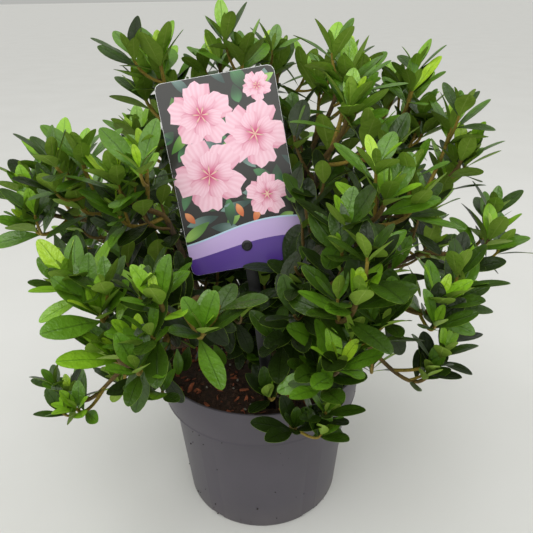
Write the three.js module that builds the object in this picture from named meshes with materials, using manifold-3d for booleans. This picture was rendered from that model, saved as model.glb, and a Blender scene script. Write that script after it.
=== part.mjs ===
// Azalea shrub in a 3 litre nursery pot, with the picture card that such a pot is sold with.
// Millimetres, +Z up. The origin is the middle of the pot's flat underside, and the card faces -Y.
// A bearing is an angle in degrees about the vertical, 0 towards -Y and 90 towards +X.

import * as THREE from 'three';
import { mergeVertices } from 'three/addons/utils/BufferGeometryUtils.js';
import Module from 'manifold-3d';

const wasm = await Module();
wasm.setup();

const GAP = 0.3;
const SHORTEST_EDGE = 0.002;
const ROUNDING = 0.001;

// Pot: thin moulded shell with a deep rim band, on a flat base with drain holes and foot notches.
const POT_HEIGHT = 153;
const RIM_RADIUS = 95;
const BAND_HEIGHT = 37;
const BAND_FOOT = POT_HEIGHT - BAND_HEIGHT;
const BAND_FOOT_RADIUS = 90.6;
const BODY_TOP_RADIUS = 84;
const STEP_HEIGHT = 1.5;
const LIP_ROUND = 1.4;
const FOOT_RADIUS = 74.3;
const WALL = 1.8;
const BASE_THICKNESS = 2.6;
const FOOT_BEVEL = 2.5;
const POT_SEGMENTS = 28;
const DRAIN_HOLES = 5;
const DRAIN_RADIUS = 5.5;
const DRAIN_RING = 50;
const NOTCHES = 5;
const NOTCH_WIDTH = 14;
const NOTCH_DEPTH = 12;
const NOTCH_HEIGHT = 3;

// Compost: fills the pot, level at the stem's foot and lumpy beyond it.
const SOIL_LEVEL = 140;
const SOIL_FLAT_RADIUS = 17;
const SOIL_LUMP = 2.2;
const SOIL_CLEARANCE = 1.5;
const SOIL_SHOULDER = 3;
const SOIL_RINGS = 3;
const SOIL_SEGMENTS = 20;

// Stem: short, leaning a little, with a root flare that is cut flat on the compost.
const STEM_HEIGHT = 46;
const STEM_LEAN = new THREE.Vector2(-5, -3);
const STEM_PROFILE = [[0, 13.5], [0.1, 10.4], [0.3, 8.8], [0.65, 7.8], [1, 6.6]];
const STEM_SIDES = 8;
const ROOT_RIDGE = 1.8;
const STEM_ROUGHNESS = 0.5;

// Boughs and twigs: radii at the foot and the tip of each.
const MAIN_BOUGH = { foot: 4.2, tip: 2.1, sides: 5, steps: 4 };
const SIDE_BOUGH = { foot: 3.0, tip: 2.1, sides: 4, steps: 3 };
const LEADER = { foot: 2.0, tip: 1.6, sides: 3, steps: 3 };
const SHOOT = { foot: 1.6, tip: 1.5, sides: 3, steps: 2 };
const BOUGH_ARCH = 30;
const BOUGH_ARCH_FALL = 0.25;

// Foliage: each mass grows from one leader that ends at a point of the crown's outline.
const HEART = new THREE.Vector3(0, 0, 215);
const LEADER_LENGTH = 54;
const LEADER_BEND = 0.3;
const TIP_BEND = 0.5;
const SHOOT_LENGTH = 36;
const SHOOT_VARIETY = 0.3;
const SHOOT_SPREAD = 60;
const SHOOT_ASIDE = 0.85;
const SHOOT_RISE = 0.2;
const SHOOT_LIFT = 0.3;
const FIRST_SHOOT = 0.12;
const LAST_SHOOT = 0.45;
const GOLDEN_ANGLE = 137.5;
const WHORL = 6;
const LEAF_LENGTH = 42;
const LEAF_WIDTH = 0.5;
const LEAF_THICKNESS = 0.9;
const LEAF_CUP = 1.6;
const LEAF_BROADEST = 0.56;
const LEAF_THICKEST = 0.52;
const LEAF_SHRINK = 0.2;
const LEAF_VARIETY = 0.12;
const OUTER_PITCH = 66;
const INNER_PITCH = 26;
const PITCH_VARIETY = 10;
const ROOT_DEPTH = 4;
const ROOT_CLIMB = 3;
const MASS_REACH = 100;

// Tips turn up towards the light: a share of their direction, in full above a height.
const LIGHT_PULL = 0.72;
const NO_PULL_HEIGHT = 20;
const FULL_PULL_HEIGHT = 150;

// Crown: where each mass's leader ends, its number of side shoots, and what its bough grows on.
// A bough on the stem starts at a share of the stem's height, one on a bough at a share of that.
const CROWN = [
  // name, bearing, out, height, shoots, carried by, share
  ['top_right', 88, 64, 394, 2, 'stem', 1],
  ['left', -76, 172, 320, 2, 'stem', 0.62],
  ['front_left', -19, 167, 293, 2, 'stem', 0.75],
  ['left_mid', -42, 172, 292, 2, 'stem', 0.5],
  ['front_right_high', 33, 146, 342, 2, 'stem', 0.82],
  ['right_mid', 41, 176, 276, 2, 'stem', 0.45],
  ['right_out', 73, 184, 284, 2, 'stem', 0.65],
  ['back_right_high', 104, 133, 370, 4, 'stem', 0.8],
  ['back', 172, 150, 316, 4, 'stem', 0.6],
  ['back_left_high', -132, 126, 338, 4, 'stem', 0.78],
  ['low_front', 12, 126, 166, 2, 'stem', 0.36],
  ['low_left', -67, 170, 153, 2, 'stem', 0.3],
  ['top_left', -98, 74, 400, 2, 'left', 0.3],
  ['left_up', -58, 148, 352, 2, 'left', 0.42],
  ['front_left_high', -41, 132, 348, 2, 'left_mid', 0.5],
  ['front_low_left', -31, 171, 248, 2, 'left_mid', 0.4],
  ['top_front_left', -130, 34, 404, 2, 'top_right', 0.3],
  ['top_front_right', 42, 94, 386, 2, 'front_right_high', 0.42],
  ['front_right', 20, 171, 292, 2, 'front_right_high', 0.6],
  ['low_front_right', 18, 166, 246, 2, 'right_mid', 0.42],
  ['right_up', 80, 158, 338, 2, 'right_out', 0.4],
  ['low_right', 63, 154, 170, 2, 'right_mid', 0.3],
  ['back_top', 165, 78, 396, 3, 'top_right', 0.42],
  ['back_right', 110, 172, 264, 4, 'back_right_high', 0.42],
  ['back_left', -112, 172, 254, 4, 'back_left_high', 0.42],
  ['back_low_right', 150, 166, 226, 4, 'back', 0.36],
  ['back_low_left', -152, 166, 232, 4, 'back', 0.48],
];

// Picture card on its stake: the card leans back and turns a little on the rivet.
const CARD_WIDTH = 84;
const CARD_HEIGHT = 137;
const CARD_THICKNESS = 0.9;
const CARD_CORNER = 5;
const CARD_CENTRE = new THREE.Vector3(-16, -52, 338);
const CARD_UP = new THREE.Vector3(-0.16, 0.27, 0.95).normalize();
const CARD_ACROSS = new THREE.Vector3(0.985, 0.09, 0.14);
const CARD_OVERLAP = 9;
const CARD_FRONT = -3;
const RIVET_OFFSET = new THREE.Vector2(1, -53);
const RIVET_RADIUS = 4;
const RIVET_HEAD = 1.4;
const STAKE_WIDTH = 9;
const STAKE_THICKNESS = 1.8;
const STAKE_ABOVE_RIVET = 14;
const STAKE_FOOT = new THREE.Vector3(12, -66, 96);
const STAKE_BEND = 30;
const STAKE_STEPS = 4;
const STAKE_POINT = 0.35;
const STAKE_BELOW_CARD = 8;
const RIVET_SIDES = 8;

const rad = THREE.MathUtils.degToRad;
const UP = new THREE.Vector3(0, 0, 1);

function place(bearing, out, height) {
  return new THREE.Vector3(out * Math.sin(rad(bearing)), -out * Math.cos(rad(bearing)), height);
}

// The same seed always gives the same run of numbers from 0 to 1.
function seeded(seed) {
  let state = seed;
  return () => {
    state = (state * 1664525 + 1013904223) % 4294967296;
    return state / 4294967296;
  };
}

function solid(geometry) {
  const plain = geometry.clone();
  plain.deleteAttribute('normal');
  plain.deleteAttribute('uv');
  const merged = mergeVertices(plain, 1e-4);
  return new wasm.Manifold(new wasm.Mesh({
    numProp: 3,
    vertProperties: new Float32Array(merged.attributes.position.array),
    triVerts: new Uint32Array(merged.index.array),
  }));
}

function geometryOf(shape) {
  const { vertProperties, triVerts } = shape.getMesh();
  const geometry = new THREE.BufferGeometry();
  geometry.setAttribute('position', new THREE.BufferAttribute(vertProperties, 3));
  geometry.setIndex(new THREE.BufferAttribute(triVerts, 1));
  return geometry;
}

function hasShortEdge(geometry) {
  const spots = geometry.attributes.position;
  const corners = geometry.index.array;
  const point = (i) => new THREE.Vector3().fromBufferAttribute(spots, corners[i]);
  return corners.some((corner, i) => {
    const next = i % 3 === 2 ? i - 2 : i + 1;
    return point(i).distanceTo(point(next)) < SHORTEST_EDGE;
  });
}

// Whether a joined shape is one body without hollows, with no two points that rounding merges.
function isSound(shape) {
  const geometry = geometryOf(shape);
  const rounded = mergeVertices(geometry, ROUNDING);
  return shape.decompose().length === 1
    && rounded.attributes.position.count === geometry.attributes.position.count
    && !hasShortEdge(geometry);
}

// The largest body of a cut shape, without its loose scraps.
function body(cut) {
  return cut.decompose().sort((a, b) => b.volume() - a.volume())[0];
}

const group = new THREE.Group();

function add(name, shape, look) {
  const geometry = geometryOf(shape);
  geometry.computeVertexNormals();
  const mesh = new THREE.Mesh(geometry, new THREE.MeshStandardMaterial(look));
  mesh.name = name;
  group.add(mesh);
}

const LOOKS = {
  pot: { color: 0x57545a, roughness: 0.5, metalness: 0 },
  compost: { color: 0x2b1d15, roughness: 1, metalness: 0 },
  bark: { color: 0x6b5034, roughness: 0.9, metalness: 0 },
  leaf: { color: 0x3f7a2a, roughness: 0.45, metalness: 0 },
  card: { color: 0xe79bb4, roughness: 0.25, metalness: 0 },
  stake: { color: 0x141414, roughness: 0.4, metalness: 0 },
};

// --- Shapes that repeat ---

// A closed skin over rings of equal point counts, with a flat cap on each end.
function loft(rings) {
  const sides = rings[0].length;
  const last = (rings.length - 1) * sides;
  const faces = [];
  for (let start = 0; start < last; start += sides) {
    for (let s = 0; s < sides; s += 1) {
      const a = start + s;
      const b = start + (s + 1) % sides;
      faces.push(a, b, b + sides, a, b + sides, a + sides);
    }
  }
  for (let s = 1; s + 1 < sides; s += 1) {
    faces.push(0, s + 1, s, last, last + s, last + s + 1);
  }
  const geometry = new THREE.BufferGeometry().setFromPoints(rings.flat());
  geometry.setIndex(faces);
  return geometry;
}

// A limb of a few flat sides that tapers evenly along a curve.
function limb(curve, { foot, tip, sides, steps }, grow = 0) {
  const frames = curve.computeFrenetFrames(steps, false);
  const rings = [];
  for (let i = 0; i <= steps; i += 1) {
    const radius = THREE.MathUtils.lerp(foot, tip, i / steps) + grow;
    const centre = curve.getPoint(i / steps);
    const ring = [];
    for (let s = 0; s < sides; s += 1) {
      const angle = 2 * Math.PI * s / sides;
      ring.push(centre.clone()
        .addScaledVector(frames.normals[i], radius * Math.cos(angle))
        .addScaledVector(frames.binormals[i], radius * Math.sin(angle)));
    }
    rings.push(ring);
  }
  return solid(loft(rings));
}

// Turns a direction away from itself by spread degrees, towards the side that angle picks.
function tilted(direction, spread, angle) {
  const aside = new THREE.Vector3().crossVectors(direction, Math.abs(direction.z) > 0.9
    ? new THREE.Vector3(1, 0, 0) : UP).normalize();
  aside.applyAxisAngle(direction, rad(angle));
  return direction.clone().applyAxisAngle(aside, rad(spread));
}

// A twig's direction after it has turned up to the light by the share that suits its height.
function sunward(direction, height) {
  const share = THREE.MathUtils.mapLinear(height, NO_PULL_HEIGHT, FULL_PULL_HEIGHT, 0, 1);
  const pull = LIGHT_PULL * THREE.MathUtils.clamp(share, 0, 1);
  return direction.clone().lerp(UP, pull).normalize();
}

// A pointed leaf blade of eight faces, broadest past its middle and cupped a little.
function leaf(root, heading, shoot, length, grow = 0) {
  const up = shoot.clone().addScaledVector(heading, -shoot.dot(heading)).normalize();
  const across = new THREE.Vector3().crossVectors(up, heading);
  const spot = (along, side, lift) => root.clone()
    .addScaledVector(heading, along)
    .addScaledVector(across, side)
    .addScaledVector(up, lift);
  const half = length * LEAF_WIDTH / 2 + grow;
  const thick = LEAF_THICKNESS / 2 + grow;
  const points = [
    spot(-grow, 0, 0),
    spot(length * LEAF_BROADEST, half, LEAF_CUP),
    spot(length + grow, 0, 0),
    spot(length * LEAF_BROADEST, -half, LEAF_CUP),
    spot(length * LEAF_THICKEST, 0, thick),
    spot(length * LEAF_THICKEST, 0, -thick),
  ];
  const geometry = new THREE.BufferGeometry().setFromPoints(points);
  geometry.setIndex([0, 4, 1, 1, 4, 2, 2, 4, 3, 3, 4, 0, 0, 1, 5, 1, 2, 5, 2, 3, 5, 3, 0, 5]);
  return { shape: solid(geometry), points };
}

// --- Pot ---

function makePot() {
  const outer = [
    [0, 0],
    [FOOT_RADIUS - FOOT_BEVEL, 0],
    [FOOT_RADIUS, FOOT_BEVEL],
    [BODY_TOP_RADIUS, BAND_FOOT - STEP_HEIGHT],
    [BAND_FOOT_RADIUS - LIP_ROUND, BAND_FOOT],
    [BAND_FOOT_RADIUS, BAND_FOOT + LIP_ROUND],
    [RIM_RADIUS, POT_HEIGHT - LIP_ROUND],
    [RIM_RADIUS - WALL / 2, POT_HEIGHT],
  ];
  const inner = [
    [RIM_RADIUS - WALL - LIP_ROUND / 2, POT_HEIGHT],
    [BAND_FOOT_RADIUS - WALL, BAND_FOOT + 2 * STEP_HEIGHT],
    [BODY_TOP_RADIUS - WALL, BAND_FOOT - STEP_HEIGHT],
    [FOOT_RADIUS - WALL, BASE_THICKNESS],
    [0, BASE_THICKNESS],
  ];
  const profile = [...outer, ...inner].map(([r, z]) => new THREE.Vector2(r, z));
  const shell = new THREE.LatheGeometry(profile, POT_SEGMENTS).rotateX(Math.PI / 2);
  let pot = solid(shell);
  for (let i = 0; i < DRAIN_HOLES; i += 1) {
    const hole = new THREE.CylinderGeometry(DRAIN_RADIUS, DRAIN_RADIUS, 4 * BASE_THICKNESS, 8);
    hole.rotateX(Math.PI / 2);
    const { x, y } = place(360 * i / DRAIN_HOLES, DRAIN_RING, 0);
    hole.translate(x, y, 0);
    pot = pot.subtract(solid(hole));
  }
  for (let i = 0; i < NOTCHES; i += 1) {
    const notch = new THREE.BoxGeometry(NOTCH_WIDTH, NOTCH_DEPTH, 2 * NOTCH_HEIGHT);
    notch.translate(0, -FOOT_RADIUS, 0);
    notch.rotateZ(rad(360 * (i + 0.5) / NOTCHES));
    pot = pot.subtract(solid(notch));
  }
  return body(pot);
}

// --- Compost ---

function makeSoil() {
  const random = seeded(11);
  const { mapLinear, lerp } = THREE.MathUtils;
  const bodyRadius = (z) => mapLinear(z, 0, BAND_FOOT, FOOT_RADIUS, BODY_TOP_RADIUS);
  const bandRadius = (z) => mapLinear(z, BAND_FOOT, POT_HEIGHT, BAND_FOOT_RADIUS, RIM_RADIUS);
  const inside = WALL + SOIL_CLEARANCE;
  const floor = BASE_THICKNESS + GAP;
  const step = BAND_FOOT - SOIL_SHOULDER;
  const edge = bandRadius(SOIL_LEVEL) - inside;
  const profile = [
    [0, floor],
    [bodyRadius(floor) - inside, floor],
    [bodyRadius(step) - inside, step],
    [bandRadius(step) - inside - SOIL_SHOULDER, step + 3 * SOIL_SHOULDER],
    [edge, SOIL_LEVEL - SOIL_SHOULDER],
  ];
  for (let i = 1; i <= SOIL_RINGS; i += 1) {
    const radius = lerp(edge - SOIL_SHOULDER, SOIL_FLAT_RADIUS, i / SOIL_RINGS);
    profile.push([radius, SOIL_LEVEL]);
  }
  profile.push([0, SOIL_LEVEL]);
  const points = profile.map(([r, z]) => new THREE.Vector2(r, z));
  const geometry = new THREE.LatheGeometry(points, SOIL_SEGMENTS).rotateX(Math.PI / 2);
  geometry.deleteAttribute('normal');
  geometry.deleteAttribute('uv');
  const merged = mergeVertices(geometry, 1e-3);
  const spots = merged.attributes.position;
  for (let i = 0; i < spots.count; i += 1) {
    const radius = Math.hypot(spots.getX(i), spots.getY(i));
    const onTop = spots.getZ(i) > SOIL_LEVEL - 1;
    if (onTop && radius > SOIL_FLAT_RADIUS + 1) {
      spots.setZ(i, SOIL_LEVEL + SOIL_LUMP * (2 * random() - 1));
    }
  }
  return solid(merged);
}

// --- Stem and boughs ---

function makeStem(grow = 0) {
  const foot = SOIL_LEVEL + GAP;
  const height = STEM_HEIGHT + grow;
  const random = seeded(5);
  const rings = STEM_PROFILE.map(([share, radius]) => {
    const ring = [];
    for (let s = 0; s < STEM_SIDES; s += 1) {
      const angle = 2 * Math.PI * s / STEM_SIDES;
      const root = share === 0 ? ROOT_RIDGE * (s % 2) : 0;
      const r = radius + root + STEM_ROUGHNESS * random() + grow;
      ring.push(new THREE.Vector3(
        STEM_LEAN.x * share + r * Math.cos(angle),
        STEM_LEAN.y * share + r * Math.sin(angle),
        foot + height * share,
      ));
    }
    return ring;
  });
  return solid(loft(rings));
}

function stemPoint(share) {
  const z = SOIL_LEVEL + GAP + STEM_HEIGHT * share;
  return new THREE.Vector3(STEM_LEAN.x * share, STEM_LEAN.y * share, z);
}

// A bough rises from its carrier and arches over the lower its tip lies.
function boughCurve(start, end) {
  const middle = start.clone().lerp(end, 0.5);
  middle.z += BOUGH_ARCH - BOUGH_ARCH_FALL * (end.z - start.z);
  return new THREE.QuadraticBezierCurve3(start, middle, end);
}

// --- Picture card and stake ---

const cardNormal = new THREE.Vector3().crossVectors(CARD_ACROSS, CARD_UP).normalize();
const cardAcross = new THREE.Vector3().crossVectors(CARD_UP, cardNormal).normalize();
const cardPlace = new THREE.Matrix4().makeBasis(cardAcross, CARD_UP, cardNormal)
  .setPosition(CARD_CENTRE);

function cardSpot(across, up, front) {
  return new THREE.Vector3(across, up, front).applyMatrix4(cardPlace);
}

function makeCard() {
  const x = CARD_WIDTH / 2;
  const y = CARD_HEIGHT / 2;
  const c = CARD_CORNER;
  const outline = new THREE.Shape();
  outline.absarc(x - c, -y + c, c, -Math.PI / 2, 0, false);
  outline.absarc(x - c, y - c, c, 0, Math.PI / 2, false);
  outline.absarc(-x + c, y - c, c, Math.PI / 2, Math.PI, false);
  outline.absarc(-x + c, -y + c, c, Math.PI, 1.5 * Math.PI, false);
  const plate = new THREE.ExtrudeGeometry(outline, {
    depth: CARD_THICKNESS, bevelEnabled: false, curveSegments: 3,
  });
  plate.translate(0, 0, -CARD_THICKNESS / 2);
  const bore = RIVET_RADIUS / 2 + GAP;
  const hole = new THREE.CylinderGeometry(bore, bore, 10 * CARD_THICKNESS, RIVET_SIDES);
  hole.rotateX(Math.PI / 2).translate(RIVET_OFFSET.x, RIVET_OFFSET.y, 0);
  return solid(plate.applyMatrix4(cardPlace)).subtract(solid(hole.applyMatrix4(cardPlace)));
}

// The stake stands in the compost and bends back to lie flat behind the card, where it is riveted.
function makeStake(grow = 0) {
  const behind = -CARD_THICKNESS / 2 - GAP - STAKE_THICKNESS / 2;
  const top = cardSpot(RIVET_OFFSET.x, RIVET_OFFSET.y + STAKE_ABOVE_RIVET, behind);
  const below = cardSpot(RIVET_OFFSET.x, -CARD_HEIGHT / 2 - STAKE_BELOW_CARD, behind);
  const bend = below.clone().addScaledVector(CARD_UP, -STAKE_BEND);
  const lower = new THREE.QuadraticBezierCurve3(STAKE_FOOT, bend, below);
  const rings = [];
  for (let i = 0; i <= STAKE_STEPS + 1; i += 1) {
    const centre = i > STAKE_STEPS ? top : lower.getPoint(i / STAKE_STEPS);
    const along = i > STAKE_STEPS ? CARD_UP : lower.getTangent(i / STAKE_STEPS);
    const side = cardAcross.clone().addScaledVector(along, -cardAcross.dot(along)).normalize();
    const back = new THREE.Vector3().crossVectors(along, side);
    const taper = i === 0 ? STAKE_POINT : 1;
    const w = taper * STAKE_WIDTH / 2 + grow;
    const t = STAKE_THICKNESS / 2 + grow;
    rings.push([[w, t], [-w, t], [-w, -t], [w, -t]].map(([a, b]) => centre.clone()
      .addScaledVector(side, a)
      .addScaledVector(back, b)));
  }
  return solid(loft(rings));
}

// The rivet's pin grows out of the stake, and its head lies on the card's face.
function makeRivet() {
  const front = CARD_THICKNESS / 2 + GAP;
  const sink = RIVET_HEAD / 10;
  const reach = front + sink + CARD_THICKNESS / 2 + GAP + STAKE_THICKNESS / 2;
  const { x, y } = RIVET_OFFSET;
  const radius = RIVET_RADIUS / 2;
  const pin = new THREE.CylinderGeometry(radius, radius, reach, RIVET_SIDES);
  pin.rotateX(Math.PI / 2).translate(x, y, front + sink - reach / 2);
  const crown = 0.8 * RIVET_RADIUS;
  const head = new THREE.CylinderGeometry(crown, RIVET_RADIUS, RIVET_HEAD, RIVET_SIDES);
  head.rotateX(Math.PI / 2).translate(x, y, front + RIVET_HEAD / 2);
  return solid(pin.applyMatrix4(cardPlace)).add(solid(head.applyMatrix4(cardPlace)));
}

// Whether a point lies in the space before the card's picture, which the foliage leaves open.
function beforeCard(point) {
  const local = point.clone().sub(CARD_CENTRE);
  return local.dot(cardNormal) > CARD_FRONT
    && Math.abs(local.dot(cardAcross)) < CARD_WIDTH / 2 - CARD_OVERLAP
    && Math.abs(local.dot(CARD_UP)) < CARD_HEIGHT / 2 - CARD_OVERLAP;
}

// --- What stands where: every shape that a twig or leaf has to stay clear of ---

const standing = [];

// Puts a shape up, with the grown form that later limbs are cut back by where it has one.
function stand(owner, shape, grown = null) {
  standing.push({ owner, shape, grown, box: shape.boundingBox() });
}

function apart(a, b) {
  return [0, 1, 2].some((k) => a.max[k] < b.min[k] || b.max[k] < a.min[k]);
}

// Whether a shape meets anything that stands, apart from what its own owners have put up.
function meets(shape, ...owners) {
  const box = shape.boundingBox();
  return standing.some((other) => !owners.includes(other.owner)
    && !apart(box, other.box)
    && !shape.intersect(other.shape).isEmpty());
}

const pot = makePot();
const stake = makeStake().add(makeRivet());
const card = makeCard();
const soil = makeSoil().subtract(makeStake(GAP));
const stem = makeStem();
add('pot', pot, LOOKS.pot);
add('compost', body(soil), LOOKS.compost);
add('stem', stem, LOOKS.bark);
add('picture_card', card, LOOKS.card);
add('card_stake', stake, LOOKS.stake);
stand('pot', pot);
stand('pot', soil);
stand('stem', stem, makeStem(GAP));
stand('card', card);
stand('card', stake);

// Boughs: each starts inside its carrier, and is cut back by every limb before it to leave the gap.
const boughs = {};
for (const [name, bearing, out, height, , carrier, share] of CROWN) {
  const onStem = carrier === 'stem';
  const tip = place(bearing, out, height);
  const heading = tip.clone().sub(HEART).normalize();
  const start = onStem ? stemPoint(share) : boughs[carrier].curve.getPoint(share);
  const end = tip.clone().addScaledVector(heading, -LEADER_LENGTH);
  const curve = boughCurve(start, end);
  const size = onStem ? MAIN_BOUGH : SIDE_BOUGH;
  let shape = limb(curve, size);
  for (const { grown, box } of standing) {
    if (grown && !apart(shape.boundingBox(), box)) {
      shape = shape.subtract(grown);
    }
  }
  shape = body(shape);
  boughs[name] = { curve, tip };
  add(`bough_${name}`, shape, LOOKS.bark);
  stand(`bough_${name}`, shape, limb(curve, size, GAP));
}

// Leaders and side shoots of every mass come first, so that leaves give way to them.
const masses = CROWN.map(([name, , , , shoots], index) => {
  const random = seeded(101 + 37 * index);
  const { curve, tip } = boughs[name];
  const arrival = curve.getTangent(1);
  const start = curve.getPoint(1).addScaledVector(arrival, GAP);
  const away = start.clone().addScaledVector(arrival, LEADER_LENGTH * LEADER_BEND);
  const upright = sunward(tip.clone().sub(HEART).normalize(), tip.z);
  const below = tip.clone().addScaledVector(upright, -LEADER_LENGTH * TIP_BEND);
  const leader = new THREE.CubicBezierCurve3(start, away, below, tip);
  let shape = limb(leader, LEADER);
  const tips = [{ end: tip, heading: upright }];
  stand(name, shape);
  const turn = 360 * random();
  for (let i = 0; i < shoots; i += 1) {
    const share = THREE.MathUtils.lerp(FIRST_SHOOT, LAST_SHOOT, i / (shoots - 1));
    const length = SHOOT_LENGTH * (1 + SHOOT_VARIETY * (random() - 0.5));
    const along = leader.getTangent(share);
    const aside = tilted(along, SHOOT_SPREAD, turn + i * GOLDEN_ANGLE);
    const foot = leader.getPoint(share);
    const end = foot.clone().addScaledVector(aside, length * SHOOT_ASIDE)
      .addScaledVector(along, length * SHOOT_RISE)
      .addScaledVector(UP, length * SHOOT_LIFT);
    const way = sunward(end.clone().sub(foot).normalize(), end.z);
    const knee = end.clone().addScaledVector(way, -length * TIP_BEND);
    const twig = new THREE.QuadraticBezierCurve3(foot, knee, end);
    const shoot = limb(twig, SHOOT);
    const joined = shape.add(shoot);
    if (beforeCard(end) || meets(limb(twig, SHOOT, GAP), name) || !isSound(joined)) {
      continue;
    }
    shape = joined;
    stand(name, shoot);
    tips.push({ end, heading: way });
  }
  return { name, shape, tips, random };
});

// Whorls of leaves at the twigs' tips: the outer leaves lie flat, the inner ones stand up.
for (const mass of masses) {
  const { name, tips, random } = mass;
  const centre = boughs[name].tip;
  for (const [whorl, { end, heading }] of tips.entries()) {
    const turn = 360 * random();
    for (let i = 0; i < WHORL; i += 1) {
      const share = i / (WHORL - 1);
      const size = 1.05 - LEAF_SHRINK * share + LEAF_VARIETY * (random() - 0.5);
      const length = LEAF_LENGTH * size;
      const pitch = THREE.MathUtils.lerp(OUTER_PITCH, INNER_PITCH, share)
        + PITCH_VARIETY * (random() - 0.5);
      const way = tilted(heading, pitch, turn + i * GOLDEN_ANGLE);
      const root = end.clone().addScaledVector(heading, ROOT_CLIMB * share - ROOT_DEPTH);
      const blade = leaf(root, way, heading, length);
      const clear = leaf(root, way, heading, length, GAP);
      const strays = blade.points.some((p) => beforeCard(p) || p.distanceTo(centre) > MASS_REACH);
      if (strays || meets(clear.shape, name, `${name} ${whorl}`)) {
        continue;
      }
      const joined = mass.shape.add(blade.shape);
      if (isSound(joined)) {
        mass.shape = joined;
        stand(`${name} ${whorl}`, blade.shape);
      }
    }
  }
  add(`foliage_${name}`, mass.shape, LOOKS.leaf);
}

export default group;
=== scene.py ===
import math

import bpy
import numpy as np
from mathutils import Matrix, Vector, noise


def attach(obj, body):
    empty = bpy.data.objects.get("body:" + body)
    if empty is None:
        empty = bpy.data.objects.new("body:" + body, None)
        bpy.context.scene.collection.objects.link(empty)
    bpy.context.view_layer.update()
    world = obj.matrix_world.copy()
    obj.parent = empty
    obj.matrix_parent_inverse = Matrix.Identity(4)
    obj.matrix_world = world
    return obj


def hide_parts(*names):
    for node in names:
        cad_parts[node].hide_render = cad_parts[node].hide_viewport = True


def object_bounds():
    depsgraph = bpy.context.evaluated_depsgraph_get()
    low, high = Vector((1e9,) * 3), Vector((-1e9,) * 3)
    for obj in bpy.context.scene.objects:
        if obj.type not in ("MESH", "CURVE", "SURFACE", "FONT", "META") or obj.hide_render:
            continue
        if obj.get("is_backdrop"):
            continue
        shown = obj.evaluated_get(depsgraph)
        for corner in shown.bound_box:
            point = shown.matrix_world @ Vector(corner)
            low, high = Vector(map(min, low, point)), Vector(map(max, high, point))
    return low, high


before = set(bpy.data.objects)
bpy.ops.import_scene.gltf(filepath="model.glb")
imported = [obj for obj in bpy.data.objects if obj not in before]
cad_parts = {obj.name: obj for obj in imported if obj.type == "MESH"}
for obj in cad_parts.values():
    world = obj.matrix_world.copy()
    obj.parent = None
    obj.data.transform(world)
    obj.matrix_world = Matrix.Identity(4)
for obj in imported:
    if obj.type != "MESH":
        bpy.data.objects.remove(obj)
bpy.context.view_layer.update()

# --- Camera, floor and light ---
# The pot stands on a pale bench and is seen from in front, from a little above its crown.
# A bright overcast sky and a broad soft sun light it; soft lamps around it draw the leaves' shine.

MM = 0.001
EYE = (7.4, -439.4, 454.9)
LOOKS_DOWN = math.radians(26.32)
LEANS = math.radians(1.01)
LENS = 37.82
SKY_STRENGTH = 0.5
SUN_STRENGTH = 1.75
SUN_BREADTH = math.radians(90)
SUN_WAY = (0.15, 0.6, -1)
LAMPS_AIM = Vector((0, 0, 250)) * MM
LAMPS = [
    # name, where it hangs, its size and its power in watts
    ("lamp_left", (-600, 0, 1400), 0.4, 1.5),
    ("lamp_right", (900, 300, 1300), 0.4, 1.5),
    ("low_left_lamp", (-2800, 200, 1000), 2.2, 7),
    ("low_right_lamp", (2800, 200, 1000), 2.2, 7),
    ("front_lamp", (0, -900, 1500), 0.8, 5),
]
BENCH_SIDE = 60

right = Vector((1, 0, 0))
upright = Vector((0, math.sin(LOOKS_DOWN), math.cos(LOOKS_DOWN)))
backward = Vector((0, -math.cos(LOOKS_DOWN), math.sin(LOOKS_DOWN)))
camera = bpy.data.objects.new("camera", bpy.data.cameras.new("camera"))
camera.data.lens = LENS
camera.data.clip_start = 10 * MM
camera.data.clip_end = 100
turned = Matrix((
    right * math.cos(LEANS) - upright * math.sin(LEANS),
    right * math.sin(LEANS) + upright * math.cos(LEANS),
    backward,
)).transposed().to_4x4()
camera.matrix_world = Matrix.Translation(Vector(EYE) * MM) @ turned
bpy.context.collection.objects.link(camera)
bpy.context.scene.camera = camera
bpy.context.scene.view_settings.view_transform = "Standard"


def linear(code):
    """An sRGB hex colour as the linear colour that a shader takes."""
    shares = [int(code[i:i + 2], 16) / 255 for i in (1, 3, 5)]
    light = [s / 12.92 if s <= 0.04045 else ((s + 0.055) / 1.055) ** 2.4 for s in shares]
    return (*light, 1.0)


def feed(node, sockets):
    """Gives sockets their values, or joins them to outputs. A node stands for its own result."""
    for socket, value in sockets.items():
        if isinstance(value, bpy.types.Node):
            value = value.outputs[2 if value.bl_idname == "ShaderNodeMix" else 0]
        if isinstance(value, bpy.types.NodeSocket):
            node.id_data.links.new(value, node.inputs[socket])
        else:
            node.inputs[socket].default_value = value


def add_node(tree, kind, sockets=None, **settings):
    """One node with its settings, its sockets given values or joined to other nodes."""
    made = tree.nodes.new("ShaderNode" + kind)
    for key, value in settings.items():
        setattr(made, key, value)
    feed(made, sockets or {})
    return made


def new_finish(name, roughness, ior):
    """A material of its own name, with its node tree and its shader."""
    material = bpy.data.materials.new(name)
    material.use_nodes = True
    shader = material.node_tree.nodes["Principled BSDF"]
    feed(shader, {"Roughness": roughness, "IOR": ior})
    return material, material.node_tree, shader


def mottled(shader, place, scale, dark, light, ends=(0, 1), detail=2, rough=0.5):
    """Feeds the shader a tone that noise moves from dark to light. Gives that tone and the noise."""
    tree = shader.id_data
    cloud = add_node(tree, "TexNoise", {
        "Vector": place, "Scale": scale, "Detail": detail, "Roughness": rough,
    })
    spread = add_node(tree, "MapRange", {"Value": cloud, "From Min": ends[0], "From Max": ends[1]})
    tone = add_node(tree, "Mix", {0: spread, 6: linear(dark), 7: linear(light)}, data_type="RGBA")
    feed(shader, {"Base Color": tone})
    return tone, cloud


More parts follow.
